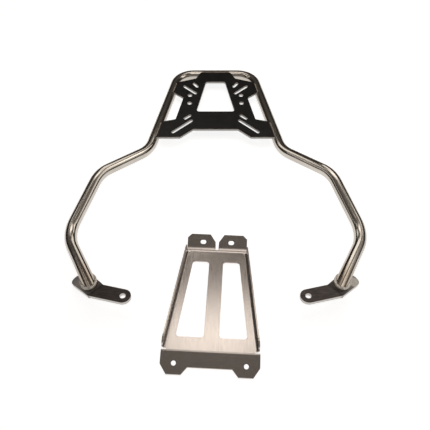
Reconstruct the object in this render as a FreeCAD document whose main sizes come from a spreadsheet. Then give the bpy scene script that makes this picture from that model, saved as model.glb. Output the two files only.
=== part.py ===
import FreeCAD, Part
import itertools
import math
import os
import Sketcher

# Scooter top case rack: a bent tube hoop with a welded case plate, a folded tab on each tube
# end, and the folded support bracket that lies beside it on the same floor.
# Lengths are in millimetres. X is to the right, Y to the rear of the rack, Z is up.
# The floor is at Z zero and the origin is under the middle of the whole layout.

Vector = FreeCAD.Vector
X_AXIS = Vector(1, 0, 0)
Y_AXIS = Vector(0, 1, 0)
Z_AXIS = Vector(0, 0, 1)

doc = FreeCAD.newDocument("top_case_rack")
sheet = doc.addObject("Spreadsheet::Sheet", "Sizes")

SIZES = [
    # Hoop tube
    ("tube_radius", 10.0),
    ("tube_wall", 2.0),
    ("rear_half", 80.5),
    ("rear_back", 333.0),
    ("waist_half", 124.2),
    ("waist_back", 90.2),
    ("shoulder_half", 200.5),
    ("shoulder_back", 4.6),
    ("shoulder_rise", 24.0),
    ("hip_half", 236.6),
    ("hip_front", 115.5),
    ("hip_rise", 4.0),
    ("end_half", 186.8),
    ("end_front", 204.4),
    ("end_rise", 10.5),
    ("rear_bend", 40.0),
    ("waist_bend", 70.0),
    ("shoulder_bend", 70.0),
    ("hip_bend", 65.0),
    # Case plate, measured from the middle of its slot pattern
    ("plate_back", 211.2),
    ("plate_thickness", 4.0),
    ("plate_lap", 6.5),
    ("tongue_half", 31.7),
    ("tongue_lap", 5.0),
    ("neck_half", 42.0),
    ("neck_back", 94.0),
    ("rear_arm_back", 80.0),
    ("rear_arm_front", 45.5),
    ("gap_rear_half", 66.0),
    ("gap_rear_back", 26.5),
    ("gap_front_half", 78.8),
    ("gap_front_back", 43.0),
    ("front_arm_back", 50.0),
    ("front_arm_front", 96.2),
    ("foot_half", 67.4),
    ("recess_half", 43.4),
    ("recess_front", 73.0),
    ("window_rear_half", 20.3),
    ("window_front_half", 38.6),
    ("window_back", 81.7),
    ("window_front", 18.7),
    ("window_corner", 5.0),
    ("plate_corner", 3.0),
    ("slot_width", 6.6),
    ("rear_slot_mid", 53.3),
    ("rear_slot_length", 40.0),
    ("front_slot_mid", 64.5),
    ("front_slot_length", 55.0),
    ("rear_short_half", 42.0),
    ("rear_short_back", 70.0),
    ("rear_short_turn", 56.0),
    ("front_short_half", 55.4),
    ("front_short_front", 36.2),
    ("short_slot_length", 19.0),
    ("bolt_hole_half", 52.8),
    ("bolt_hole_back", 34.4),
    ("bolt_hole_pitch", 26.2),
    ("bolt_hole", 9.5),
    # Tabs on the tube ends
    ("tab_thickness", 5.0),
    ("tab_half", 169.0),
    ("tab_front", 229.5),
    ("tab_rise", 37.32),
    ("tab_tilt", 6.0),
    ("tab_turn", 45.5),
    ("tab_fold", 24.0),
    ("tab_fold_round", 6.0),
    ("arm_width", 23.0),
    ("arm_reach", 40.7),
    ("arm_turn", 30.5),
    ("tab_hole", 8.5),
    ("pad_reach", 53.5),
    ("pad_shift", 4.5),
    ("pad_round", 15.0),
    # Weld beads
    ("bead_radius", 2.2),
    ("bead_shift", 0.8),
    ("bead_lift", 0.6),
    ("foot_bead", 2.8),
    # Support bracket, measured from the middle of its front fold
    ("bracket_front", 310.3),
    ("bracket_side", 6.8),
    ("bracket_turn", 3.0),
    ("sheet_thickness", 2.0),
    ("bracket_length", 175.6),
    ("bracket_front_half", 66.4),
    ("bracket_rear_half", 47.9),
    ("wall_height", 19.0),
    ("wall_nose_round", 12.0),
    ("flange_half", 67.0),
    ("flange_drop", 24.0),
    ("lobe_reach", 28.2),
    ("lobe_straight", 16.4),
    ("lobe_outer_half", 58.2),
    ("lobe_inner_half", 38.2),
    ("flange_recess_half", 29.9),
    ("flange_recess", 19.3),
    ("flange_hole_half", 48.6),
    ("flange_hole_reach", 16.7),
    ("flange_hole", 6.5),
    ("ear_half", 47.3),
    ("ear_rise", 34.0),
    ("ear_reach", 20.6),
    ("ear_straight", 15.7),
    ("ear_tip_half", 41.0),
    ("ear_notch_half", 11.0),
    ("ear_notch_reach", 10.8),
    ("ear_notch_mid", 2.7),
    ("ear_notch_root", 2.0),
    ("ear_hole_half", 22.2),
    ("ear_hole_reach", 12.4),
    ("ear_hole_width", 6.5),
    ("ear_hole_length", 9.0),
    ("rib_half", 10.8),
    ("cutout_rear_half", 36.0),
    ("cutout_front_half", 49.5),
    ("cutout_rear", 23.6),
    ("cutout_front", 20.9),
    ("cutout_corner", 5.0),
    ("front_fold_round", 5.0),
    ("rear_fold_round", 15.0),
    ("side_fold_round", 3.0),
    ("side_gap", 3.0),
    ("side_start", 5.0),
    ("relief_width", 2.0),
    ("relief_depth", 6.0),
]

for line, (alias, length) in enumerate(SIZES, start=1):
    sheet.set("A%d" % line, alias.replace("_", " "))
    sheet.set("B%d" % line, str(length))
    sheet.setAlias("B%d" % line, alias)
sheet.recompute()

worked_lines = itertools.count(1)


def size(alias):
    """One length or angle as the sheet holds it."""
    return float(sheet.get(alias))


def worked(text):
    """Put a worked-out value in the sheet and give its alias."""
    line = next(worked_lines)
    alias = "worked_%d" % line
    sheet.set("D%d" % line, "=" + text)
    sheet.setAlias("D%d" % line, alias)
    return alias


def link(alias):
    return "Sizes." + alias


# Sketch helpers

def new_body(name):
    body = doc.addObject("PartDesign::Body", name)
    body.Label = name
    return body


def new_sketch(body, name, plane="XY_Plane"):
    sketch = body.newObject("Sketcher::SketchObject", name)
    support = [item for item in body.Origin.OriginFeatures if item.Role == plane][0]
    sketch.AttachmentSupport = [(support, "")]
    sketch.MapMode = "FlatFace"
    return sketch


def fix_point(sketch, geometry, corner, across, along):
    """Tie one sketch point to two values of the sheet."""
    row = sketch.addConstraint(Sketcher.Constraint("DistanceX", -1, 1, geometry, corner, size(across)))
    sketch.setExpression("Constraints[%d]" % row, link(across))
    row = sketch.addConstraint(Sketcher.Constraint("DistanceY", -1, 1, geometry, corner, size(along)))
    sketch.setExpression("Constraints[%d]" % row, link(along))


def fix_radius(sketch, geometry, alias):
    row = sketch.addConstraint(Sketcher.Constraint("Radius", geometry, size(alias)))
    sketch.setExpression("Constraints[%d]" % row, link(alias))


def draw_loop(sketch, corners):
    """A closed outline through corners given as pairs of sheet formulas."""
    pairs = [(worked(across), worked(along)) for across, along in corners]
    sheet.recompute()
    points = [Vector(size(across), size(along), 0) for across, along in pairs]
    first = sketch.GeometryCount
    count = len(points)
    for step in range(count):
        sketch.addGeometry(Part.LineSegment(points[step], points[(step + 1) % count]), False)
    for step in range(count):
        here = first + step
        following = first + (step + 1) % count
        sketch.addConstraint(Sketcher.Constraint("Coincident", here, 2, following, 1))
        fix_point(sketch, here, 1, pairs[step][0], pairs[step][1])


def mirrored(corners):
    """Right-hand corners from front to rear, closed by the same ones on the left."""
    left = [("-(%s)" % across, along) for across, along in reversed(corners)]
    return corners + left


def draw_slot(sketch, across, along, turn, length, width):
    """A round-ended slot about a middle point, turned from the X axis."""
    reach = "(%s - %s) / 2" % (length, width)
    ends = []
    for sign in ("+", "-"):
        ends.append((worked("%s %s cos(%s deg) * %s" % (across, sign, turn, reach)),
                     worked("%s %s sin(%s deg) * %s" % (along, sign, turn, reach))))
    radius = worked("%s / 2" % width)
    sheet.recompute()
    (ax, ay), (bx, by) = [(size(one), size(other)) for one, other in ends]
    heading = math.atan2(ay - by, ax - bx)
    side = Vector(-math.sin(heading), math.cos(heading), 0) * size(radius)
    head = Vector(ax, ay, 0)
    tail = Vector(bx, by, 0)
    quarter = math.pi / 2
    first = sketch.GeometryCount
    circle = Part.Circle(head, Z_AXIS, size(radius))
    sketch.addGeometry(Part.ArcOfCircle(circle, heading - quarter, heading + quarter), False)
    circle = Part.Circle(tail, Z_AXIS, size(radius))
    sketch.addGeometry(Part.ArcOfCircle(circle, heading + quarter, heading + 3 * quarter), False)
    sketch.addGeometry(Part.LineSegment(head + side, tail + side), False)
    sketch.addGeometry(Part.LineSegment(tail - side, head - side), False)
    sketch.addConstraint(Sketcher.Constraint("Tangent", first, 2, first + 2, 1))
    sketch.addConstraint(Sketcher.Constraint("Tangent", first + 2, 2, first + 1, 1))
    sketch.addConstraint(Sketcher.Constraint("Tangent", first + 1, 2, first + 3, 1))
    sketch.addConstraint(Sketcher.Constraint("Tangent", first + 3, 2, first, 1))
    fix_point(sketch, first, 3, *ends[0])
    fix_point(sketch, first + 1, 3, *ends[1])
    fix_radius(sketch, first, radius)


def draw_circle(sketch, across, along, radius):
    names = [worked(across), worked(along), worked(radius)]
    sheet.recompute()
    middle = Vector(size(names[0]), size(names[1]), 0)
    item = sketch.addGeometry(Part.Circle(middle, Z_AXIS, size(names[2])), False)
    fix_point(sketch, item, 3, names[0], names[1])
    fix_radius(sketch, item, names[2])


def draw_lobe(sketch, half, across, along, radius):
    """A bar that leaves the X axis between plus and minus half and ends in a round nose."""
    names = [worked(text) for text in (half, "-(%s)" % half, "0", across, along, radius)]
    sheet.recompute()
    right, left, zero, mid_x, mid_y, nose = names
    middle = Vector(size(mid_x), size(mid_y), 0)
    forward = 1 if size(mid_y) > 0 else -1
    touches = []
    for edge, side in ((size(right), forward), (size(left), -forward)):
        away = Vector(edge, 0, 0) - middle
        spread = math.acos(size(nose) / away.Length)
        bearing = math.atan2(away.y, away.x) + side * spread
        touches.append(middle + Vector(math.cos(bearing), math.sin(bearing), 0) * size(nose))
    start = Vector(size(right), 0, 0)
    finish = Vector(size(left), 0, 0)
    far = middle + (middle - (start + finish) / 2).normalize() * size(nose)
    base = sketch.addGeometry(Part.LineSegment(finish, start), False)
    rise = sketch.addGeometry(Part.LineSegment(start, touches[0]), False)
    arc = sketch.addGeometry(Part.Arc(touches[0], far, touches[1]), False)
    fall = sketch.addGeometry(Part.LineSegment(touches[1], finish), False)
    arc_start, arc_end = (1, 2) if forward > 0 else (2, 1)
    sketch.addConstraint(Sketcher.Constraint("Coincident", base, 2, rise, 1))
    sketch.addConstraint(Sketcher.Constraint("Coincident", fall, 2, base, 1))
    sketch.addConstraint(Sketcher.Constraint("Tangent", rise, 2, arc, arc_start))
    sketch.addConstraint(Sketcher.Constraint("Tangent", arc, arc_end, fall, 1))
    fix_point(sketch, base, 1, left, zero)
    fix_point(sketch, base, 2, right, zero)
    fix_point(sketch, arc, 3, mid_x, mid_y)
    fix_radius(sketch, arc, nose)


def pad(body, name, sketch, alias, reverse=False, midplane=False):
    item = body.newObject("PartDesign::Pad", name)
    item.Profile = sketch
    item.setExpression("Length", link(alias))
    item.Reversed = reverse
    item.Midplane = midplane
    sketch.Visibility = False
    doc.recompute()
    return item


def pocket(body, name, sketch):
    """A cut right through, to both sides of its sketch."""
    item = body.newObject("PartDesign::Pocket", name)
    item.Profile = sketch
    item.Type = "ThroughAll"
    item.Midplane = True
    sketch.Visibility = False
    doc.recompute()
    return item


def fillet(body, name, alias, wanted):
    """Round the edges of the body's tip that the test picks out."""
    tip = body.Tip
    names = []
    for number, edge in enumerate(tip.Shape.Edges, start=1):
        if wanted(edge):
            names.append("Edge%d" % number)
    item = body.newObject("PartDesign::Fillet", name)
    item.Base = (tip, names)
    item.setExpression("Radius", link(alias))
    doc.recompute()
    return item


def runs_along(edge, axis):
    """True where the edge is straight and keeps to one direction."""
    if edge.Curve.TypeId != "Part::GeomLine":
        return False
    return abs(abs(edge.tangentAt(edge.FirstParameter).dot(axis)) - 1) < 1e-6


def middle_of(edge):
    return edge.valueAt((edge.FirstParameter + edge.LastParameter) / 2)


# Tabs: a flat bar folded along a slanted line, the tube end standing on its sloping pad

tab_place = FreeCAD.Placement(
    Vector(size("tab_half"), -size("tab_front"), size("tab_rise")),
    FreeCAD.Rotation(X_AXIS, -size("tab_tilt")).multiply(FreeCAD.Rotation(Z_AXIS, -size("tab_turn"))))
pad_place = tab_place.multiply(FreeCAD.Placement(Vector(), FreeCAD.Rotation(X_AXIS, -size("tab_fold"))))

right_tab = new_body("right_tab")
fold_half = "arm_width / 2 / cos(arm_turn * 1 deg)"
arm_sketch = new_sketch(right_tab, "arm_outline")
draw_lobe(arm_sketch, fold_half, "-arm_reach * sin(arm_turn * 1 deg)",
          "-arm_reach * cos(arm_turn * 1 deg)", "arm_width / 2")
pad(right_tab, "arm", arm_sketch, "tab_thickness", reverse=True)
pad_sketch = new_sketch(right_tab, "pad_outline")
pad_sketch.AttachmentOffset = FreeCAD.Placement(Vector(), FreeCAD.Rotation(X_AXIS, -size("tab_fold")))
draw_lobe(pad_sketch, fold_half, "-pad_shift", "pad_reach", "pad_round")
pad(right_tab, "pad", pad_sketch, "tab_thickness", reverse=True)
hole_sketch = new_sketch(right_tab, "tab_hole_place")
draw_circle(hole_sketch, "-arm_reach * sin(arm_turn * 1 deg)", "-arm_reach * cos(arm_turn * 1 deg)",
            "tab_hole / 2")
pocket(right_tab, "tab_hole_cut", hole_sketch)
fillet(right_tab, "fold_round", "tab_fold_round",
       lambda edge: runs_along(edge, X_AXIS) and middle_of(edge).Length < 1.0)
right_tab.Placement = tab_place

left_tab = doc.addObject("Part::Mirroring", "left_tab")
left_tab.Label = "left_tab"
left_tab.Source = right_tab
left_tab.Normal = X_AXIS
doc.recompute()

# Case plate: laser cut, welded between the side runs and on the rear cross tube

side_lean = "((waist_half - rear_half) / (rear_back - waist_back))"
lap_across = "(plate_lap * sqrt(1 + %s * %s))" % (side_lean, side_lean)


def at_tube(along):
    """Where the plate ends on the side run, at a place along the plate."""
    return "rear_half + (rear_back - plate_back - (%s)) * %s - %s" % (along, side_lean, lap_across)


plate_body = new_body("plate_blank")
plate_outline = new_sketch(plate_body, "plate_outline")
draw_loop(plate_outline, mirrored([
    ("recess_half", "-recess_front"),
    ("foot_half", "-front_arm_front"),
    (at_tube("-front_arm_front"), "-front_arm_front"),
    (at_tube("-front_arm_back"), "-front_arm_back"),
    ("gap_front_half", "-gap_front_back"),
    ("gap_rear_half", "gap_rear_back"),
    (at_tube("rear_arm_front"), "rear_arm_front"),
    (at_tube("rear_arm_back"), "rear_arm_back"),
    ("neck_half", "neck_back"),
    ("tongue_half", "rear_back - plate_back - tongue_lap"),
]))
pad(plate_body, "plate_sheet", plate_outline, "plate_thickness", reverse=True)
window_sketch = new_sketch(plate_body, "window_outline")
draw_loop(window_sketch, mirrored([("window_front_half", "-window_front"), ("window_rear_half", "window_back")]))
pocket(plate_body, "window_cut", window_sketch)
window_spots = [(size("window_front_half"), -size("window_front")), (size("window_rear_half"), size("window_back"))]
fillet(plate_body, "window_rounding", "window_corner",
       lambda edge: runs_along(edge, Z_AXIS) and any(
           abs(abs(middle_of(edge).x) - spot[0]) + abs(middle_of(edge).y - spot[1]) < 0.1
           for spot in window_spots))
plate_spots = [(size("gap_front_half"), -size("gap_front_back")), (size("gap_rear_half"), size("gap_rear_back")),
               (size("recess_half"), -size("recess_front")), (size("foot_half"), -size("front_arm_front")),
               (size("neck_half"), size("neck_back"))]
fillet(plate_body, "outline_rounding", "plate_corner",
       lambda edge: runs_along(edge, Z_AXIS) and any(
           abs(abs(middle_of(edge).x) - spot[0]) + abs(middle_of(edge).y - spot[1]) < 0.1
           for spot in plate_spots))
slot_sketch = new_sketch(plate_body, "slot_pattern")
for hand in (1, -1):
    sign = "" if hand > 0 else "-"
    draw_slot(slot_sketch, sign + "rear_slot_mid", "rear_slot_mid", "%d" % (90 - 45 * hand),
              "rear_slot_length", "slot_width")
    draw_slot(slot_sketch, sign + "front_slot_mid", "-front_slot_mid", "%d" % (90 + 45 * hand),
              "front_slot_length", "slot_width")
    draw_slot(slot_sketch, sign + "rear_short_half", "rear_short_back", "(90 - %d * (90 - rear_short_turn)) * 1" % hand,
              "short_slot_length", "slot_width")
    draw_slot(slot_sketch, sign + "front_short_half", "-front_short_front", "%d" % (90 + 45 * hand),
              "short_slot_length", "slot_width")
    for step in range(2):
        draw_circle(slot_sketch, sign + "bolt_hole_half", "bolt_hole_back - %d * bolt_hole_pitch" % step,
                    "bolt_hole / 2")
pocket(plate_body, "slot_cut", slot_sketch)
plate_body.Placement = FreeCAD.Placement(Vector(0, size("plate_back"), 2 * size("tube_radius")), FreeCAD.Rotation())

# Support bracket: a folded sheet tray with side walls and rear ears bent up, front flange bent down

bracket = new_body("support_bracket")
profile = new_sketch(bracket, "bracket_profile", "YZ_Plane")
fall = "tan(flange_drop * 1 deg)"
climb = "tan(ear_rise * 1 deg)"
under_front = "sheet_thickness * tan(flange_drop * 0.5 deg)"
under_rear = "sheet_thickness * tan(ear_rise * 0.5 deg)"
flange_end = "(lobe_reach * 1.5)"
ear_end = "(ear_reach * 1.5)"
draw_loop(profile, [
    ("-%s" % flange_end, "sheet_thickness - %s * %s" % (flange_end, fall)),
    ("0", "sheet_thickness"),
    ("bracket_length", "sheet_thickness"),
    ("bracket_length + %s" % ear_end, "sheet_thickness + %s * %s" % (ear_end, climb)),
    ("bracket_length + %s" % ear_end,
     "sheet_thickness + %s * %s - sheet_thickness / cos(ear_rise * 1 deg)" % (ear_end, climb)),
    ("bracket_length + %s" % under_rear, "0"),
    (under_front, "0"),
    ("-%s" % flange_end,
     "sheet_thickness - %s * %s - sheet_thickness / cos(flange_drop * 1 deg)" % (flange_end, fall)),
])
blank_width = worked("flange_half * 2.4")
rear_fold_outside = worked("rear_fold_round + sheet_thickness")
side_fold_outside = worked("side_fold_round + sheet_thickness")
sheet.recompute()
pad(bracket, "bracket_strip", profile, blank_width, midplane=True)


def fold_edge(edge, back, level):
    """An edge across the sheet, at a place along the bracket and a height."""
    spot = middle_of(edge)
    near = abs(spot.y - back) < 2.0 * size("sheet_thickness") and abs(spot.z - level) < 0.01
    return near and runs_along(edge, X_AXIS)


fillet(bracket, "front_fold", "front_fold_round",
       lambda edge: fold_edge(edge, 0, size("sheet_thickness")))
fillet(bracket, "rear_fold", "rear_fold_round",
       lambda edge: fold_edge(edge, size("bracket_length"), size("sheet_thickness")))
fillet(bracket, "rear_fold_back", rear_fold_outside,
       lambda edge: fold_edge(edge, size("bracket_length"), 0))

wall_lean = "((bracket_front_half - bracket_rear_half) / bracket_length)"
wall_end = "(bracket_length - side_start)"
front_relief = "(side_gap - relief_width)"


def wall_half(along):
    """Half the bracket's width at a place along it."""
    return "bracket_rear_half + (bracket_length - (%s)) * %s" % (along, wall_lean)


trim = new_sketch(bracket, "bracket_outline")
draw_loop(trim, mirrored([
    ("flange_recess_half", "-flange_recess"),
    ("lobe_inner_half", "-lobe_reach"),
    ("lobe_outer_half", "-lobe_reach"),
    ("flange_half", "-lobe_straight"),
    ("flange_half", front_relief),
    (wall_half("side_gap") + " - relief_depth", front_relief),
    (wall_half("side_gap") + " - relief_depth", "side_gap"),
    (wall_half("side_gap"), "side_gap"),
    (wall_half(wall_end), wall_end),
    (wall_half(wall_end) + " - relief_depth", wall_end),
    (wall_half(wall_end) + " - relief_depth", "%s + relief_width" % wall_end),
    ("ear_half", "%s + relief_width" % wall_end),
    ("ear_half", "bracket_length + ear_straight"),
    ("ear_tip_half", "bracket_length + ear_reach"),
    ("ear_notch_half", "bracket_length + ear_reach"),
    ("ear_notch_mid", "bracket_length + ear_notch_reach"),
    ("ear_notch_root", "bracket_length"),
]))
far = "(flange_half * 1.5)"
draw_loop(trim, [("-%s" % far, "-lobe_reach * 2"), (far, "-lobe_reach * 2"),
                 (far, "bracket_length + ear_reach * 2"), ("-%s" % far, "bracket_length + ear_reach * 2")])
pocket(bracket, "bracket_trim", trim)

walls = new_sketch(bracket, "wall_lines")
for sign in ("", "-"):
    draw_loop(walls, [
        ("%s(%s)" % (sign, wall_half("side_gap")), "side_gap"),
        ("%s(%s)" % (sign, wall_half(wall_end)), wall_end),
        ("%s(%s - sheet_thickness)" % (sign, wall_half(wall_end)), wall_end),
        ("%s(%s - sheet_thickness)" % (sign, wall_half("side_gap")), "side_gap"),
    ])
pad(bracket, "side_walls", walls, "wall_height")


def side_edge(edge, level):
    """The long edges of the side walls at one height."""
    if edge.Curve.TypeId != "Part::GeomLine" or edge.Length < 0.6 * size("bracket_length"):
        return False
    spot = middle_of(edge)
    return abs(spot.z - level) < 0.01 and abs(spot.x) > size("cutout_rear_half")


fillet(bracket, "side_fold", "side_fold_round", lambda edge: side_edge(edge, size("sheet_thickness")))
fillet(bracket, "side_fold_back", side_fold_outside, lambda edge: side_edge(edge, 0))
fillet(bracket, "wall_noses", "wall_nose_round",
       lambda edge: fold_edge(edge, size("side_gap"), size("wall_height")))

cutouts = new_sketch(bracket, "cutout_outline")
for sign in ("", "-"):
    draw_loop(cutouts, [
        (sign + "rib_half", "cutout_front"),
        (sign + "cutout_front_half", "cutout_front"),
        (sign + "cutout_rear_half", "bracket_length - cutout_rear"),
        (sign + "rib_half", "bracket_length - cutout_rear"),
    ])
pocket(bracket, "cutout_cut", cutouts)
cutout_spots = [(size("rib_half"), size("cutout_front")), (size("cutout_front_half"), size("cutout_front")),
                (size("cutout_rear_half"), size("bracket_length") - size("cutout_rear")),
                (size("rib_half"), size("bracket_length") - size("cutout_rear"))]
fillet(bracket, "cutout_rounding", "cutout_corner",
       lambda edge: runs_along(edge, Z_AXIS) and any(
           abs(abs(middle_of(edge).x) - spot[0]) + abs(middle_of(edge).y - spot[1]) < 0.1
           for spot in cutout_spots))

flange_holes = new_sketch(bracket, "flange_holes")
flange_holes.AttachmentOffset = FreeCAD.Placement(
    Vector(0, 0, size("sheet_thickness")), FreeCAD.Rotation(X_AXIS, size("flange_drop")))
ear_holes = new_sketch(bracket, "ear_holes")
ear_holes.AttachmentOffset = FreeCAD.Placement(
    Vector(0, size("bracket_length"), size("sheet_thickness")), FreeCAD.Rotation(X_AXIS, size("ear_rise")))
for sign in ("", "-"):
    draw_circle(flange_holes, sign + "flange_hole_half", "-flange_hole_reach", "flange_hole / 2")
    draw_slot(ear_holes, sign + "ear_hole_half", "ear_hole_reach", "0", "ear_hole_length", "ear_hole_width")
pocket(bracket, "flange_hole_cut", flange_holes)
pocket(bracket, "ear_hole_cut", ear_holes)


def bracket_lie():
    """The bracket leans back until the flange tips and the outside of the rear fold are on the floor."""
    thickness = size("sheet_thickness")
    drop = math.radians(size("flange_drop"))
    half_rise = math.radians(size("ear_rise")) / 2
    depth = size("lobe_reach") * math.tan(drop) + thickness / math.cos(drop) - thickness
    touch = size("bracket_length") - size("rear_fold_round") * math.tan(half_rise)
    lean = math.atan2(depth, touch + size("lobe_reach"))
    lift = touch * math.sin(lean) + size(rear_fold_outside) * (1 - math.cos(lean))
    spin = FreeCAD.Rotation(Z_AXIS, -size("bracket_turn"))
    place = Vector(-size("bracket_side"), -size("bracket_front"), lift)
    return FreeCAD.Placement(place, spin.multiply(FreeCAD.Rotation(X_AXIS, -math.degrees(lean))))


bracket.Placement = bracket_lie()
doc.recompute()

# Hoop tube: one bent tube from tab to tab

def hoop_corners():
    """The corners of the right-hand half, from the tube end to the rear."""
    level = size("tube_radius")
    tip = Vector(size("end_half"), -size("end_front"), level + size("end_rise"))
    hip = Vector(size("hip_half"), -size("hip_front"), level + size("hip_rise"))
    shoulder = Vector(size("shoulder_half"), size("shoulder_back"), level + size("shoulder_rise"))
    waist = Vector(size("waist_half"), size("waist_back"), level)
    rear = Vector(size("rear_half"), size("rear_back"), level)
    overrun = (tip - hip).normalize() * (size("pad_reach") * 0.75)
    return [tip + overrun, hip, shoulder, waist, rear]


def rounded_path(points, radii):
    """Straight runs joined by bends of the given radii."""
    edges = []
    here = points[0]
    for corner, radius, following in zip(points[1:-1], radii, points[2:]):
        back = (points[points.index(corner) - 1] - corner).normalize()
        ahead = (following - corner).normalize()
        half_turn = back.getAngle(ahead) / 2
        leg = radius / math.tan(half_turn)
        start = corner + back * leg
        finish = corner + ahead * leg
        bisector = (back + ahead).normalize()
        crown = corner + bisector * (radius / math.sin(half_turn) - radius)
        edges.append(Part.LineSegment(here, start).toShape())
        edges.append(Part.Arc(start, crown, finish).toShape())
        here = finish
    edges.append(Part.LineSegment(here, points[-1]).toShape())
    return Part.Wire(edges)


right_corners = hoop_corners()
left_corners = [Vector(-point.x, point.y, point.z) for point in reversed(right_corners)]
bend_radii = [size(name) for name in ("hip_bend", "shoulder_bend", "waist_bend", "rear_bend")]
path = doc.addObject("Part::Feature", "hoop_path")
path.Shape = rounded_path(right_corners + left_corners, bend_radii + bend_radii[::-1])

path_start = right_corners[0]
path_heading = (right_corners[1] - right_corners[0]).normalize()


def swept_round(name, formula):
    """A round bar of the sheet's radius along the hoop path."""
    ring = doc.addObject("Part::Circle", name + "_ring")
    ring.setExpression("Radius", formula)
    ring.Placement = FreeCAD.Placement(path_start, FreeCAD.Rotation(Z_AXIS, path_heading))
    bar = doc.addObject("Part::Sweep", name)
    bar.Sections = [ring]
    bar.Spine = (path, ["Edge%d" % (step + 1) for step in range(len(path.Shape.Edges))])
    bar.Solid = True
    bar.Frenet = False
    doc.recompute()
    return bar


outer_bar = swept_round("hoop_outside", "Sizes.tube_radius")
bore_bar = swept_round("hoop_bore", "Sizes.tube_radius - Sizes.tube_wall")


def straight_run(name, first, second):
    """The outside of one straight run of the tube."""
    run = doc.addObject("Part::Cylinder", name)
    run.setExpression("Radius", "Sizes.tube_radius")
    run.Height = (second - first).Length
    run.Placement = FreeCAD.Placement(first, FreeCAD.Rotation(Z_AXIS, (second - first).normalize()))
    return run


plate_runs = doc.addObject("Part::MultiFuse", "plate_runs")
plate_runs.Shapes = [straight_run("right_side_run", right_corners[3], right_corners[4]),
                     straight_run("left_side_run", left_corners[1], left_corners[0]),
                     straight_run("rear_cross_run", right_corners[4], left_corners[0])]
foot_run = straight_run("right_foot_run", right_corners[0], right_corners[1])
doc.recompute()

# The tube ends are scarfed flush with the pads


def scarf(name, sign):
    block = doc.addObject("Part::Box", name)
    block.setExpression("Length", "6 * Sizes.pad_round")
    block.setExpression("Width", "3 * Sizes.pad_reach")
    block.setExpression("Height", "2 * Sizes.pad_reach")
    corner = Vector(-3 * size("pad_round"), -1.5 * size("pad_reach"), -2 * size("pad_reach"))
    place = pad_place.multiply(FreeCAD.Placement(corner, FreeCAD.Rotation()))
    block.Placement = place
    if sign > 0:
        return block
    other = doc.addObject("Part::Mirroring", name + "_mirrored")
    other.Source = block
    other.Normal = X_AXIS
    return other


scarf_pair = doc.addObject("Part::MultiFuse", "scarf_pair")
scarf_pair.Shapes = [scarf("right_scarf", 1), scarf("left_scarf", -1)]
bar_cut = doc.addObject("Part::Cut", "hoop_solid")
bar_cut.Base = outer_bar
bar_cut.Tool = scarf_pair
hoop_tube = doc.addObject("Part::Cut", "hoop_tube")
hoop_tube.Label = "hoop_tube"
hoop_tube.Base = bar_cut
hoop_tube.Tool = bore_bar
doc.recompute()

# The plate's ends are coped to the tube

top_plate = doc.addObject("Part::Cut", "top_plate")
top_plate.Label = "top_plate"
top_plate.Base = plate_body
top_plate.Tool = plate_runs
doc.recompute()

# Weld beads

welded_metal = doc.addObject("Part::MultiFuse", "welded_metal")
welded_metal.Shapes = [plate_runs, top_plate]
doc.recompute()


def plate_bead(name, first, second):
    """A round-ended bead in the corner between plate edge and tube."""
    heading = (second - first).normalize()
    rod = doc.addObject("Part::Cylinder", name + "_rod")
    rod.setExpression("Radius", "Sizes.bead_radius")
    rod.Height = (second - first).Length
    rod.Placement = FreeCAD.Placement(first, FreeCAD.Rotation(Z_AXIS, heading))
    ends = []
    for number, spot in enumerate((first, second)):
        ball = doc.addObject("Part::Sphere", "%s_end_%d" % (name, number))
        ball.setExpression("Radius", "Sizes.bead_radius")
        ball.Placement = FreeCAD.Placement(spot, FreeCAD.Rotation(Z_AXIS, heading))
        ends.append(ball)
    whole = doc.addObject("Part::MultiFuse", name + "_whole")
    whole.Shapes = [rod] + ends
    bead = doc.addObject("Part::Cut", name)
    bead.Label = name
    bead.Base = whole
    bead.Tool = welded_metal
    return bead


def seam_level(lap):
    """Height of a bead on the tube's skin at a distance from its axis."""
    radius = size("tube_radius")
    return radius + math.sqrt(radius * radius - lap * lap) + size("bead_lift")


def seam_point(along, sign):
    """A point of the bead along the plate's end, over the side run."""
    lean = (size("waist_half") - size("rear_half")) / (size("rear_back") - size("waist_back"))
    lap = size("plate_lap") - size("bead_shift")
    across = size("rear_half") + (size("rear_back") - size("plate_back") - along) * lean
    across -= lap * math.sqrt(1 + lean * lean)
    return Vector(sign * across, along + size("plate_back"), seam_level(lap))


inset = 2 * size("bead_radius")
beads = []
for hand, sign in (("right", 1), ("left", -1)):
    beads.append(plate_bead("rear_%s_bead" % hand, seam_point(size("rear_arm_front") + inset, sign),
                            seam_point(size("rear_arm_back") - inset, sign)))
    beads.append(plate_bead("front_%s_bead" % hand, seam_point(-size("front_arm_front") + inset, sign),
                            seam_point(-size("front_arm_back") - inset, sign)))
tongue_back = size("rear_back") - size("tongue_lap") + size("bead_shift")
tongue_level = seam_level(size("tongue_lap") - size("bead_shift"))
tongue_end = size("tongue_half") - inset
beads.append(plate_bead("tongue_bead", Vector(-tongue_end, tongue_back, tongue_level),
                        Vector(tongue_end, tongue_back, tongue_level)))


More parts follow.
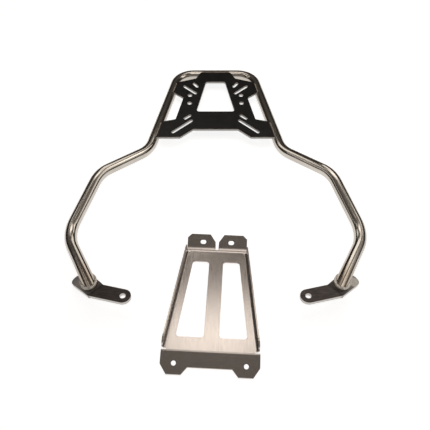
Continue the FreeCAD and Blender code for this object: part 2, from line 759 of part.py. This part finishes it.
def foot_bead():
    """The bead round the right tube foot, an oval on the pad."""
    normal = pad_place.Rotation.multVec(Z_AXIS)
    slide = (pad_place.Base - path_start).dot(normal) / path_heading.dot(normal)
    centre = path_start + path_heading * slide
    lie = path_heading - normal * path_heading.dot(normal)
    lie.normalize()
    side = normal.cross(lie)
    steep = abs(path_heading.dot(normal))
    shear = math.sqrt(1 - steep * steep) / steep
    ovals = []
    for name, lift, spread in (("foot_toe", 0.0, size("foot_bead")), ("foot_crown", size("foot_bead"), 0.2)):
        oval = doc.addObject("Part::Ellipse", name)
        oval.MinorRadius = size("tube_radius") + spread
        oval.MajorRadius = size("tube_radius") / steep + spread
        spot = centre + normal * lift + lie * (lift * shear)
        oval.Placement = FreeCAD.Placement(spot, FreeCAD.Rotation(lie, side, normal, "ZXY"))
        ovals.append(oval)
    roll = doc.addObject("Part::Loft", "foot_bead_cone")
    roll.Sections = ovals
    roll.Solid = True
    roll.Ruled = True
    doc.recompute()
    bead = doc.addObject("Part::Cut", "right_foot_bead")
    bead.Label = "right_foot_bead"
    bead.Base = roll
    bead.Tool = foot_run
    return bead


right_foot_bead = foot_bead()
left_foot_bead = doc.addObject("Part::Mirroring", "left_foot_bead")
left_foot_bead.Label = "left_foot_bead"
left_foot_bead.Source = right_foot_bead
left_foot_bead.Normal = X_AXIS
doc.recompute()

# Write one file for each piece

nodes = [hoop_tube, top_plate, right_tab, left_tab, right_foot_bead, left_foot_bead, bracket] + beads
for item in doc.Objects:
    if "Invalid" in item.State or "Error" in item.State:
        raise RuntimeError("%s did not build: %s" % (item.Name, item.State))
os.makedirs("parts", exist_ok=True)
for node in nodes:
    shape = node.Shape
    if shape.isNull() or not shape.isValid() or not shape.Solids:
        raise RuntimeError("%s has no sound solid" % node.Label)
    shape.exportStep("parts/%s.step" % node.Label)
    box = shape.BoundBox
    print(node.Label, len(shape.Solids), "solids", "volume %.0f" % shape.Volume,
          "x %.1f %.1f y %.1f %.1f z %.2f %.2f" % (box.XMin, box.XMax, box.YMin, box.YMax, box.ZMin, box.ZMax))
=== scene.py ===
import math

import bpy
from bpy.props import FloatProperty, FloatVectorProperty, IntProperty, PointerProperty
from mathutils import Euler, Matrix, Vector


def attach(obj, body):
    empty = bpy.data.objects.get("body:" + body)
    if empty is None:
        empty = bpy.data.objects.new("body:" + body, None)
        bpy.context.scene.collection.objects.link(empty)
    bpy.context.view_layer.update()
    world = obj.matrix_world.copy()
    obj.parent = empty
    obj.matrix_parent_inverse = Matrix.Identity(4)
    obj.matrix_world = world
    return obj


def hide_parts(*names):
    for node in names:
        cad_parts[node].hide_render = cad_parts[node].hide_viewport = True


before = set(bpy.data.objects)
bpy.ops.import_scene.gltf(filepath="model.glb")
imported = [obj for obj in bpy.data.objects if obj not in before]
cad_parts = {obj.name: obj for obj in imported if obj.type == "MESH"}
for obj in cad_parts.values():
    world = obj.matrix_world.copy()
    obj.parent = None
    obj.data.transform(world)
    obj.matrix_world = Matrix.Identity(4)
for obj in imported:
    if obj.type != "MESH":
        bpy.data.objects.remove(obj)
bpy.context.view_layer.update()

bl_info = {
    "name": "Scooter top case rack",
    "version": (1, 0, 0),
    "blender": (4, 5, 0),
    "location": "View3D > Sidebar > Rack",
    "description": "Finishes, weld beads and studio of a scooter top case rack",
    "category": "Object",
}

# Places on the rack, in metres, as the solids have them
TUBE_RADIUS = 0.010
TUBE_END = Vector((0.1868, -0.2044, 0.0205))
TUBE_HIP = Vector((0.2366, -0.1155, 0.0140))
REAR_CORNER = Vector((0.0805, 0.3330, 0.0100))
WAIST_CORNER = Vector((0.1242, 0.0902, 0.0100))
PAD_POINT = Vector((0.1690, -0.2295, 0.03732))
PAD_TURN = (Euler((math.radians(-6.0), 0, 0)).to_matrix()
            @ Euler((0, 0, math.radians(-45.5))).to_matrix()
            @ Euler((math.radians(-24.0), 0, 0)).to_matrix())
PAD_TIP = Vector((0.2070, -0.2020, 0.0125))
BRACKET_TURN = math.radians(-3.0)
PLATE_LAP = 0.0057
REAR_BEAD_ENDS = (0.2611, 0.2868)
FRONT_BEAD_ENDS = (0.1194, 0.1568)
TONGUE_BACK = 0.3288
TONGUE_HALF = 0.0273
UP = Vector((0, 0, 1))

# How far the weld beads stand off the metal, in metres
SEAM_LIFT = 0.0004
FOOT_GAP = 0.0008
FOOT_LIFT = 0.0009

# A side seam's ripples lean inwards by this share of their height
SEAM_LEAN = 0.35

# One ripple: where its tail starts, as a share of the radius, how the tail is drawn out, and its final form
TAIL_START = -0.1
TAIL_STRETCH = (1.5, 0.8, 0.8)
RIPPLE_FORM = (0.62, 1.0, 0.82)

# Size of a foot ripple, and how much it grows on the side that the tube leans away from
FOOT_SWELL = 0.85
FOOT_SWELL_GAIN = 0.45

# Tints of the metal that no slider sets
TUBE_STRAW = (0.434, 0.371, 0.308)
TAB_HEAT = (0.24, 0.20, 0.165)
TAB_EDGE = (0.55, 0.52, 0.49)
GROUND_PAD = (0.70, 0.64, 0.56)

# The part of a noise's range that roughness follows
GRAIN_RANGE = (0.2, 0.8)


class RackFinish(bpy.types.PropertyGroup):
    """Colours of the rack's metal."""
    tube: FloatVectorProperty(
        name="Tube", description="Polished stainless tube", subtype="COLOR",
        default=(0.552, 0.512, 0.462), min=0, max=1)
    plate: FloatVectorProperty(
        name="Plate", description="Satin black coat of the case plate", subtype="COLOR",
        default=(0.016, 0.0145, 0.015), min=0, max=1)
    cut_edge: FloatVectorProperty(
        name="Cut edge", description="Bare cut edges of the plate", subtype="COLOR",
        default=(0.62, 0.59, 0.56), min=0, max=1)
    tab: FloatVectorProperty(
        name="Tab", description="Dark brushed bar of the bolt tabs", subtype="COLOR",
        default=(0.10, 0.086, 0.081), min=0, max=1)
    # Foot weld: weld metal whose colour is set near white, far above the tube's, as a painted highlight on
    # the beads
    weld: FloatVectorProperty(
        name="Foot weld", description="Cleaned weld beads round the tube feet", subtype="COLOR",
        default=(0.93, 0.87, 0.78), min=0, max=1)
    plate_weld: FloatVectorProperty(
        name="Plate weld", description="Sooty weld beads along the plate", subtype="COLOR",
        default=(0.38, 0.32, 0.275), min=0, max=1)
    bracket: FloatVectorProperty(
        name="Bracket", description="Brushed stainless sheet of the bracket", subtype="COLOR",
        default=(0.60, 0.545, 0.51), min=0, max=1)


class RackWelds(bpy.types.PropertyGroup):
    """Sizes of the weld ripples."""
    ripple_radius: FloatProperty(
        name="Ripple radius", description="Half the width of one weld ripple", unit="LENGTH",
        default=0.0023, min=0.0005, max=0.01)
    ripple_pitch: FloatProperty(
        name="Ripple pitch", description="Distance from one ripple to the next", unit="LENGTH",
        default=0.0017, min=0.0005, max=0.01)
    bead_grain: FloatProperty(
        name="Bead grain", description="Grid size at which the ripples are fused", unit="LENGTH",
        default=0.00035, min=0.0001, max=0.002)
    foot_count: IntProperty(
        name="Foot ripples", description="Ripples round each tube foot", default=64, min=12, max=200)


class RackStage(bpy.types.PropertyGroup):
    """Camera and light."""
    lens: FloatProperty(name="Lens", description="Focal length of the camera", default=40.0, min=10, max=200)
    tilt: FloatProperty(
        name="Tilt", description="Angle between the camera's line and straight down", subtype="ANGLE",
        default=math.radians(39.8))
    eye: FloatVectorProperty(
        name="Eye", description="Place of the camera", subtype="XYZ", unit="LENGTH",
        default=(0.0, -0.579, 0.622))
    paper: FloatVectorProperty(
        name="Paper", description="Colour of the floor", subtype="COLOR",
        default=(0.92, 0.92, 0.92), min=0, max=1)


# Material helpers, which also serve the world of the studio

def new_material(name):
    """A node material with its shader, and the piece's own coordinates."""
    material = bpy.data.materials.new(name)
    material.use_nodes = True
    nodes = material.node_tree.nodes
    shader = nodes["Principled BSDF"]
    place = nodes.new("ShaderNodeTexCoord")
    return material, shader, place.outputs["Object"]


def mapped(material, source, scale, turn=(0, 0, 0)):
    """Coordinates stretched and turned for a pattern."""
    node = material.node_tree.nodes.new("ShaderNodeMapping")
    node.inputs["Scale"].default_value = scale
    node.inputs["Rotation"].default_value = turn
    material.node_tree.links.new(source, node.inputs["Vector"])
    return node.outputs["Vector"]


def noise(material, source, scale, detail=4.0, roughness=0.55):
    node = material.node_tree.nodes.new("ShaderNodeTexNoise")
    node.inputs["Scale"].default_value = scale
    node.inputs["Detail"].default_value = detail
    node.inputs["Roughness"].default_value = roughness
    material.node_tree.links.new(source, node.inputs["Vector"])
    return node.outputs["Fac"]


def ramp(material, source, stops):
    """A colour ramp through (place, colour) stops."""
    node = material.node_tree.nodes.new("ShaderNodeValToRGB")
    points = node.color_ramp.elements
    while len(points) < len(stops):
        points.new(0.5)
    for point, (place, colour) in zip(points, stops):
        point.position = place
        point.color = (*colour, 1.0)
    material.node_tree.links.new(source, node.inputs["Fac"])
    return node.outputs["Color"]


def scaled(colour, factor):
    return tuple(min(1.0, part * factor) for part in colour)


def mix(material, factor, first, second):
    """Blend of two colours or colour outputs by a factor output."""
    node = material.node_tree.nodes.new("ShaderNodeMix")
    node.data_type = "RGBA"
    links = material.node_tree.links
    links.new(factor, node.inputs["Factor"])
    for socket, value in ((node.inputs[6], first), (node.inputs[7], second)):
        if isinstance(value, bpy.types.NodeSocket):
            links.new(value, socket)
        else:
            socket.default_value = (*value, 1.0)
    return node.outputs[2]


def math_node(material, operation, first, second=None):
    node = material.node_tree.nodes.new("ShaderNodeMath")
    node.operation = operation
    for socket, value in zip(node.inputs, (first, second)):
        if isinstance(value, bpy.types.NodeSocket):
            material.node_tree.links.new(value, socket)
        elif value is not None:
            socket.default_value = value
    return node.outputs["Value"]


def span(material, source, low, high, to_low=0.0, to_high=1.0):
    """A value carried from one range to another, held at both ends."""
    node = material.node_tree.nodes.new("ShaderNodeMapRange")
    node.interpolation_type = "SMOOTHSTEP"
    for name, value in (("From Min", low), ("From Max", high), ("To Min", to_low), ("To Max", to_high)):
        node.inputs[name].default_value = value
    material.node_tree.links.new(source, node.inputs["Value"])
    return node.outputs["Result"]


def nearness(material, source, spot, near, far):
    """One at a spot of the piece, fading to nought with distance."""
    node = material.node_tree.nodes.new("ShaderNodeVectorMath")
    node.operation = "DISTANCE"
    node.inputs[1].default_value = spot
    material.node_tree.links.new(source, node.inputs[0])
    return span(material, node.outputs["Value"], near, far, to_low=1.0, to_high=0.0)


def part_of(material, source, axis):
    node = material.node_tree.nodes.new("ShaderNodeSeparateXYZ")
    material.node_tree.links.new(source, node.inputs["Vector"])
    return node.outputs[axis]


def side_faces(material):
    """One where the surface stands upright, nought where it lies level."""
    node = material.node_tree.nodes.new("ShaderNodeNewGeometry")
    level = math_node(material, "ABSOLUTE", part_of(material, node.outputs["True Normal"], "Z"))
    return span(material, level, low=0.35, high=0.6, to_low=1.0, to_high=0.0)


def bumped(material, shader, height, strength, distance):
    node = material.node_tree.nodes.new("ShaderNodeBump")
    node.inputs["Strength"].default_value = strength
    node.inputs["Distance"].default_value = distance
    material.node_tree.links.new(height, node.inputs["Height"])
    material.node_tree.links.new(node.outputs["Normal"], shader.inputs["Normal"])


def roughened(material, shader, grain, smooth, rough):
    """Roughness that follows a grain between two values."""
    spread = span(material, grain, *GRAIN_RANGE, smooth, rough)
    material.node_tree.links.new(spread, shader.inputs["Roughness"])


def foot_spot(sign):
    """Where a tube's line meets the face of its pad."""
    normal = PAD_TURN @ UP
    heading = (TUBE_HIP - TUBE_END).normalized()
    spot = TUBE_END + heading * ((PAD_POINT - TUBE_END).dot(normal) / heading.dot(normal))
    return Vector((sign * spot.x, spot.y, spot.z))


def feet(material, place, near, far):
    """Heat mask round both tube feet."""
    right = nearness(material, place, foot_spot(1), near, far)
    left = nearness(material, place, foot_spot(-1), near, far)
    return math_node(material, "MAXIMUM", right, left)


def dress(node, material):
    """Put one material on a CAD node."""
    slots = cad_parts[node].data.materials
    slots.clear()
    slots.append(material)


class RACK_OT_tube(bpy.types.Operator):
    """Polish the hoop tube."""
    bl_idname = "rack.tube"
    bl_label = "Hoop tube"

    def execute(self, context):
        colour = context.scene.rack_finish.tube
        material, shader, place = new_material("tube_steel")
        links = material.node_tree.links
        cloud = noise(material, place, scale=18.0, detail=5.0)
        tone = ramp(material, cloud, [(0.25, scaled(colour, 0.88)), (0.75, scaled(colour, 1.1))])
        heat = feet(material, place, near=0.010, far=0.045)
        links.new(mix(material, heat, tone, TUBE_STRAW), shader.inputs["Base Color"])
        fine = noise(material, place, scale=700.0, detail=2.0)
        smear = noise(material, place, scale=45.0, detail=6.0, roughness=0.65)
        gleam = 0.07
        fine_share = math_node(material, "MULTIPLY", fine, 0.04)
        smear_share = math_node(material, "MULTIPLY", smear, 0.12)
        dulled = math_node(material, "ADD", fine_share, smear_share)
        links.new(math_node(material, "ADD", dulled, gleam), shader.inputs["Roughness"])
        bumped(material, shader, fine, strength=0.02, distance=0.0004)
        shader.inputs["Metallic"].default_value = 1.0
        dress("hoop_tube", material)
        return {"FINISHED"}


class RACK_OT_plate(bpy.types.Operator):
    """Coat the case plate satin black, with its cut edges bare."""
    bl_idname = "rack.plate"
    bl_label = "Case plate"

    def execute(self, context):
        finish = context.scene.rack_finish
        material, shader, place = new_material("plate_black")
        links = material.node_tree.links
        cloud = noise(material, place, scale=60.0, detail=6.0, roughness=0.6)
        coat = ramp(material, cloud, [(0.3, scaled(finish.plate, 0.75)), (0.72, scaled(finish.plate, 1.5))])
        edge = side_faces(material)
        links.new(mix(material, edge, coat, tuple(finish.cut_edge)), shader.inputs["Base Color"])
        bare = math_node(material, "MULTIPLY", edge, 0.35)
        links.new(bare, shader.inputs["Metallic"])
        grain = noise(material, place, scale=900.0, detail=3.0)
        roughened(material, shader, grain, smooth=0.42, rough=0.58)
        shader.inputs["Specular IOR Level"].default_value = 0.25
        bumped(material, shader, grain, strength=0.18, distance=0.0004)
        dress("top_plate", material)
        return {"FINISHED"}


class RACK_OT_tabs(bpy.types.Operator):
    """Finish the bolt tabs as dark brushed bar, heat tinted at the feet, the right pad's tip ground."""
    bl_idname = "rack.tabs"
    bl_label = "Bolt tabs"

    def execute(self, context):
        colour = context.scene.rack_finish.tab
        material, shader, place = new_material("tab_steel")
        links = material.node_tree.links
        crosswise = mapped(material, place, scale=(1, 7, 1))
        streak = noise(material, crosswise, scale=90.0, detail=6.0, roughness=0.6)
        tone = ramp(material, streak, [(0.3, scaled(colour, 0.6)), (0.75, scaled(colour, 1.35))])
        heat = feet(material, place, near=0.016, far=0.036)
        warm = mix(material, heat, tone, TAB_HEAT)
        ground = nearness(material, place, PAD_TIP, near=0.010, far=0.019)
        patched = mix(material, ground, warm, GROUND_PAD)
        edge = side_faces(material)
        links.new(mix(material, edge, patched, TAB_EDGE), shader.inputs["Base Color"])
        grain = noise(material, place, scale=500.0, detail=3.0)
        roughened(material, shader, grain, smooth=0.30, rough=0.46)
        bumped(material, shader, streak, strength=0.12, distance=0.0005)
        shader.inputs["Metallic"].default_value = 1.0
        dress("left_tab", material)
        dress("right_tab", material)
        return {"FINISHED"}


class RACK_OT_bracket(bpy.types.Operator):
    """Brush the folded support bracket along its length."""
    bl_idname = "rack.bracket"
    bl_label = "Support bracket"

    def execute(self, context):
        colour = context.scene.rack_finish.bracket
        material, shader, place = new_material("bracket_steel")
        links = material.node_tree.links
        lengthwise = mapped(material, place, scale=(1.0, 0.02, 1.0), turn=(0, 0, -BRACKET_TURN))
        brush = noise(material, lengthwise, scale=900.0, detail=4.0, roughness=0.6)
        cloud = noise(material, place, scale=22.0, detail=4.0)
        tone = ramp(material, brush, [(0.25, scaled(colour, 0.9)), (0.8, scaled(colour, 1.08))])
        links.new(mix(material, cloud, tone, scaled(colour, 0.92)), shader.inputs["Base Color"])
        roughened(material, shader, brush, smooth=0.19, rough=0.26)
        bumped(material, shader, brush, strength=0.06, distance=0.0004)
        shader.inputs["Metallic"].default_value = 1.0
        dress("support_bracket", material)
        return {"FINISHED"}


# Weld beads

def weld_material(name, colour):
    """Weld metal with sooty and bright patches."""
    material = bpy.data.materials.get(name)
    if material:
        return material
    material, shader, place = new_material(name)
    cloud = noise(material, place, scale=160.0, detail=5.0, roughness=0.6)
    tone = ramp(material, cloud, [(0.25, scaled(colour, 0.6)), (0.5, colour), (0.8, scaled(colour, 1.3))])
    material.node_tree.links.new(tone, shader.inputs["Base Color"])
    roughened(material, shader, cloud, smooth=0.30, rough=0.50)
    pits = noise(material, place, scale=1200.0, detail=3.0)
    bumped(material, shader, pits, strength=0.15, distance=0.0003)
    shader.inputs["Metallic"].default_value = 0.9
    return material


def clear_selection():
    bpy.ops.object.select_all(action="DESELECT")


def ripple_pattern(radius):
    """One weld ripple: a round scale, drawn out and thinned to one side."""
    clear_selection()
    bpy.ops.mesh.primitive_uv_sphere_add(segments=16, ring_count=10, radius=radius, location=(0, 0, 0))
    pattern = bpy.context.object
    pattern.name = "weld_ripple"
    bpy.ops.object.mode_set(mode="EDIT")
    bpy.context.tool_settings.mesh_select_mode = (True, False, False)
    bpy.ops.mesh.select_all(action="DESELECT")
    bpy.ops.object.mode_set(mode="OBJECT")
    for point in pattern.data.vertices:
        point.select = point.co.x < TAIL_START * radius
    bpy.ops.object.mode_set(mode="EDIT")
    bpy.ops.transform.resize(value=TAIL_STRETCH, center_override=(0, 0, 0))
    bpy.ops.object.mode_set(mode="OBJECT")
    pattern.scale = RIPPLE_FORM
    bpy.ops.object.transform_apply(location=False, rotation=False, scale=True)
    return pattern


def fused_bead(name, places, grain, material):
    """Ripples set at the given places and fused into one bead."""
    pattern = bpy.data.objects["weld_ripple"]
    copies = []
    for place in places:
        copy = bpy.data.objects.new(name + "_ripple", pattern.data.copy())
        bpy.context.collection.objects.link(copy)
        copy.matrix_world = place
        copies.append(copy)
    clear_selection()
    for copy in copies:
        copy.select_set(True)
    bpy.context.view_layer.objects.active = copies[0]
    bpy.ops.object.join()
    bead = bpy.context.object
    bead.name = name
    bpy.ops.object.transform_apply(location=True, rotation=True, scale=True)
    fuse = bead.modifiers.new("fuse", "REMESH")
    fuse.mode = "VOXEL"
    fuse.voxel_size = grain
    bpy.ops.object.modifier_apply(modifier="fuse")
    bpy.ops.object.shade_smooth()
    bead.data.materials.clear()
    bead.data.materials.append(material)
    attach(bead, "root")
    return bead


def facing(spot, along, up):
    """A frame at a spot, its X along the seam and its Z away from the metal."""
    along = along.normalized()
    across = up.cross(along).normalized()
    up = along.cross(across)
    turn = Matrix((along, across, up)).transposed().to_4x4()
    return Matrix.Translation(spot) @ turn


def row_of_ripples(first, last, up, pitch):
    """Places for ripples from one end of a straight seam to the other."""
    count = max(2, round((last - first).length / pitch))
    along = last - first
    return [facing(first + along * (step / count), along, up) for step in range(count + 1)]


def seam_level(lap):
    """Height of the tube's skin at a distance from its axis."""
    return TUBE_RADIUS + math.sqrt(TUBE_RADIUS ** 2 - lap ** 2) + SEAM_LIFT


def side_seam(back, sign):
    """A point of the seam between the plate's end and a side run."""
    lean = (WAIST_CORNER.x - REAR_CORNER.x) / (REAR_CORNER.y - WAIST_CORNER.y)
    across = REAR_CORNER.x + (REAR_CORNER.y - back) * lean - PLATE_LAP * math.sqrt(1 + lean * lean)
    return Vector((sign * across, back, seam_level(PLATE_LAP)))


class RACK_OT_plate_welds(bpy.types.Operator):
    """Lay rippled beads where the plate meets the tube."""
    bl_idname = "rack.plate_welds"
    bl_label = "Plate welds"

    def execute(self, context):
        welds = context.scene.rack_welds
        metal = weld_material("plate_weld_metal", context.scene.rack_finish.plate_weld)
        pattern = ripple_pattern(welds.ripple_radius)
        for hand, sign in (("right", 1), ("left", -1)):
            inward = Vector((-SEAM_LEAN * sign, 0, 1))
            for end, (front, back) in (("rear", REAR_BEAD_ENDS), ("front", FRONT_BEAD_ENDS)):
                first, last = side_seam(front, sign), side_seam(back, sign)
                places = row_of_ripples(first, last, inward, welds.ripple_pitch)
                bead = fused_bead("%s_%s_weld" % (end, hand), places, welds.bead_grain, metal)
                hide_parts("%s_%s_bead" % (end, hand))
        level = seam_level(REAR_CORNER.y - TONGUE_BACK)
        left_end = Vector((-TONGUE_HALF, TONGUE_BACK, level))
        right_end = Vector((TONGUE_HALF, TONGUE_BACK, level))
        places = row_of_ripples(left_end, right_end, UP, welds.ripple_pitch)
        bead = fused_bead("tongue_weld", places, welds.bead_grain, metal)
        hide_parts("tongue_bead")
        bpy.data.objects.remove(pattern)
        return {"FINISHED"}


class RACK_OT_foot_welds(bpy.types.Operator):
    """Lay a rippled bead round each tube foot; its near white colour is weld metal with a painted highlight.
    """
    bl_idname = "rack.foot_welds"
    bl_label = "Foot welds"

    def execute(self, context):
        welds = context.scene.rack_welds
        # The foot beads' near white colour is weld metal with a painted highlight
        metal = weld_material("foot_weld_painted_highlight", context.scene.rack_finish.weld)
        pattern = ripple_pattern(welds.ripple_radius)
        normal = PAD_TURN @ UP
        heading = (TUBE_HIP - TUBE_END).normalized()
        lie = (heading - normal * heading.dot(normal)).normalized()
        side = normal.cross(lie)
        steep = abs(heading.dot(normal))
        long_half = TUBE_RADIUS / steep + FOOT_GAP
        short_half = TUBE_RADIUS + FOOT_GAP
        middle = foot_spot(1) + normal * FOOT_LIFT
        for hand, sign in (("right", 1), ("left", -1)):
            flip = Vector((sign, 1, 1))
            places = []
            for step in range(welds.foot_count):
                turn = 2 * math.pi * step / welds.foot_count
                spot = middle + lie * (long_half * math.cos(turn)) + side * (short_half * math.sin(turn))
                along = side * (short_half * math.cos(turn)) - lie * (long_half * math.sin(turn))
                swell = FOOT_SWELL - FOOT_SWELL_GAIN * math.cos(turn)
                places.append(facing(spot * flip, along * flip, normal * flip) @ Matrix.Scale(swell, 4))
            bead = fused_bead("%s_foot_weld" % hand, places, welds.bead_grain, metal)
            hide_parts("%s_foot_bead" % hand)
        bpy.data.objects.remove(pattern)
        return {"FINISHED"}


# Studio

WARM = (1.0, 0.91, 0.82)
PANEL_WHITE = (1.0, 0.95, 0.89)

# Floor: its width in metres, how much the paper is shaded for lamps, and its own glow for eye and metal
FLOOR_WIDTH = 6.0
FLOOR_SHADE = 0.62
FLOOR_GLOW = 0.86

# Camera: width of its film in millimetres, and sideways shift as a share of it
FILM_WIDTH = 36.0
FILM_SHIFT = -0.00116

# Lines that the panels' widths follow, and spots they face
LEVEL = (1, 0, 0)
SLANT = (0, 0.67, 0.74)
CLIMB = (0.7, -0.35, 0.6)
MIDDLE = (0, 0, 0)
RIGHT_END_RUN = (0.21, -0.16, 0.02)
LEFT_END_RUN = (-0.21, -0.16, 0.02)


def white_floor(paper):
    """Pale paper that keeps shadows and shows bright to the eye and in metal."""
    material = bpy.data.materials.new("floor_paper")
    material.use_nodes = True
    nodes = material.node_tree.nodes
    links = material.node_tree.links
    shader = nodes["Principled BSDF"]
    shader.inputs["Base Color"].default_value = (*scaled(paper, FLOOR_SHADE), 1.0)
    shader.inputs["Roughness"].default_value = 0.9
    shader.inputs["Specular IOR Level"].default_value = 0.0
    glow = nodes.new("ShaderNodeEmission")
    path = nodes.new("ShaderNodeLightPath")
    seen = math_node(material, "MAXIMUM", path.outputs["Is Camera Ray"], path.outputs["Is Glossy Ray"])
    seen = math_node(material, "MAXIMUM", seen, path.outputs["Is Transmission Ray"])
    links.new(math_node(material, "MULTIPLY", seen, FLOOR_GLOW), glow.inputs["Strength"])
    both = nodes.new("ShaderNodeAddShader")
    links.new(shader.outputs["BSDF"], both.inputs[0])
    links.new(glow.outputs["Emission"], both.inputs[1])
    links.new(both.outputs["Shader"], nodes["Material Output"].inputs["Surface"])
    return material


def studio_world():
    """White to the eye; for the metal a dark room, lighter towards its ceiling and its back."""
    world = bpy.data.worlds.new("studio")
    bpy.context.scene.world = world
    world.use_nodes = True
    nodes = world.node_tree.nodes
    links = world.node_tree.links
    room = nodes["Background"]
    place = nodes.new("ShaderNodeTexCoord")
    height = part_of(world, place.outputs["Generated"], "Z")
    walls = ramp(world, height, [(0.0, scaled(WARM, 0.02)), (0.45, scaled(WARM, 0.035)),
                                 (0.75, scaled(WARM, 0.11)), (1.0, scaled(WARM, 0.18))])
    depth = part_of(world, place.outputs["Generated"], "Y")
    back = span(world, depth, low=-0.45, high=0.15, to_low=0.85, to_high=1.0)
    shade = nodes.new("ShaderNodeMix")
    shade.data_type = "RGBA"
    shade.blend_type = "MULTIPLY"
    shade.inputs["Factor"].default_value = 1.0
    links.new(walls, shade.inputs[6])
    links.new(back, shade.inputs[7])
    links.new(shade.outputs[2], room.inputs["Color"])
    white = nodes.new("ShaderNodeBackground")
    white.inputs["Color"].default_value = (1, 1, 1, 1)
    path = nodes.new("ShaderNodeLightPath")
    choose = nodes.new("ShaderNodeMixShader")
    links.new(path.outputs["Is Camera Ray"], choose.inputs["Fac"])
    links.new(room.outputs["Background"], choose.inputs[1])
    links.new(white.outputs["Background"], choose.inputs[2])
    links.new(choose.outputs["Shader"], nodes["World Output"].inputs["Surface"])


def soft_box(name, spot, aim, along, size, power):
    """A warm panel of light at a spot, turned to its aim, its width along a line, its power in watts."""
    clear_selection()
    bpy.ops.object.light_add(type="AREA", location=spot)
    lamp = bpy.context.object
    lamp.name = name
    lamp.data.shape = "RECTANGLE"
    lamp.data.size, lamp.data.size_y = size
    lamp.data.energy = power
    lamp.data.color = PANEL_WHITE
    lamp.visible_camera = False
    lamp.matrix_world = facing(Vector(spot), Vector(along), Vector(spot) - Vector(aim))


class RACK_OT_stage(bpy.types.Operator):
    """Set up floor, light and camera."""
    bl_idname = "rack.stage"
    bl_label = "Stage"

    def execute(self, context):
        stage = context.scene.rack_stage
        clear_selection()
        bpy.ops.mesh.primitive_plane_add(size=FLOOR_WIDTH, location=(0, 0, 0))
        floor = context.object
        floor.name = "floor"
        floor.data.materials.append(white_floor(stage.paper))
        studio_world()
        soft_box("back_soft_box", (0, 1.0, 2.0), (0, 1.0, 0), LEVEL, (1.6, 0.6), 2.8)
        soft_box("back_small_box", (0, 1.07, 2.1), (0, 1.07, 0), LEVEL, (0.64, 0.38), 1.15)
        soft_box("top_soft_box", (0, -0.12, 2.0), (0, -0.12, 0), LEVEL, (0.6, 0.8), 1.9)
        soft_box("front_soft_box", (-0.2, -2.0, 1.15), MIDDLE, LEVEL, (6.0, 2.2), 9.5)
        soft_box("right_near_box", (0.27, 0.26, 0.37), RIGHT_END_RUN, CLIMB, (0.30, 0.14), 0.21)
        soft_box("left_near_box", (-0.13, 0.27, 0.29), LEFT_END_RUN, LEVEL, (0.26, 0.16), 0.16)
        soft_box("right_wide_box", (1.35, 0.42, 1.30), MIDDLE, SLANT, (2.2, 1.0), 1.7)
        soft_box("right_soft_box", (1.25, 0.42, 1.15), MIDDLE, SLANT, (1.2, 0.3), 1.2)
        soft_box("right_high_box", (1.20, 0.75, 1.50), MIDDLE, SLANT, (0.5, 0.28), 0.45)
        soft_box("left_high_box", (-1.20, 0.72, 1.53), MIDDLE, SLANT, (0.55, 0.2), 0.55)
        soft_box("left_low_box", (-1.40, 0.17, 0.80), MIDDLE, SLANT, (1.0, 0.2), 0.45)
        bpy.ops.object.camera_add(location=stage.eye, rotation=(stage.tilt, 0, 0))
        camera = context.object
        camera.name = "camera"
        camera.data.lens = stage.lens
        camera.data.sensor_width = FILM_WIDTH
        camera.data.shift_x = FILM_SHIFT
        context.scene.camera = camera
        context.scene.view_settings.view_transform = "Standard"
        return {"FINISHED"}


class RACK_PT_panel(bpy.types.Panel):
    """The rack's sizes, colours and steps."""
    bl_idname = "RACK_PT_panel"
    bl_label = "Top case rack"
    bl_space_type = "VIEW_3D"
    bl_region_type = "UI"
    bl_category = "Rack"

    def draw(self, context):
        for group in (context.scene.rack_finish, context.scene.rack_welds, context.scene.rack_stage):
            for name in group.bl_rna.properties.keys():
                if name not in ("rna_type", "name"):
                    self.layout.prop(group, name)
        for operator in OPERATORS:
            self.layout.operator(operator.bl_idname)


GROUPS = (RackFinish, RackWelds, RackStage)
OPERATORS = (RACK_OT_tube, RACK_OT_plate, RACK_OT_tabs, RACK_OT_bracket,
             RACK_OT_plate_welds, RACK_OT_foot_welds, RACK_OT_stage)


def register():
    for item in GROUPS + OPERATORS + (RACK_PT_panel,):
        bpy.utils.register_class(item)
    bpy.types.Scene.rack_finish = PointerProperty(type=RackFinish)
    bpy.types.Scene.rack_welds = PointerProperty(type=RackWelds)
    bpy.types.Scene.rack_stage = PointerProperty(type=RackStage)


def unregister():
    del bpy.types.Scene.rack_stage
    del bpy.types.Scene.rack_welds
    del bpy.types.Scene.rack_finish
    for item in reversed(GROUPS + OPERATORS + (RACK_PT_panel,)):
        bpy.utils.unregister_class(item)


def main():
    register()
    bpy.ops.rack.tube()
    bpy.ops.rack.plate()
    bpy.ops.rack.tabs()
    bpy.ops.rack.bracket()
    bpy.ops.rack.plate_welds()
    bpy.ops.rack.foot_welds()
    bpy.ops.rack.stage()
    bpy.context.view_layer.update()


if __name__ == "__main__":
    main()
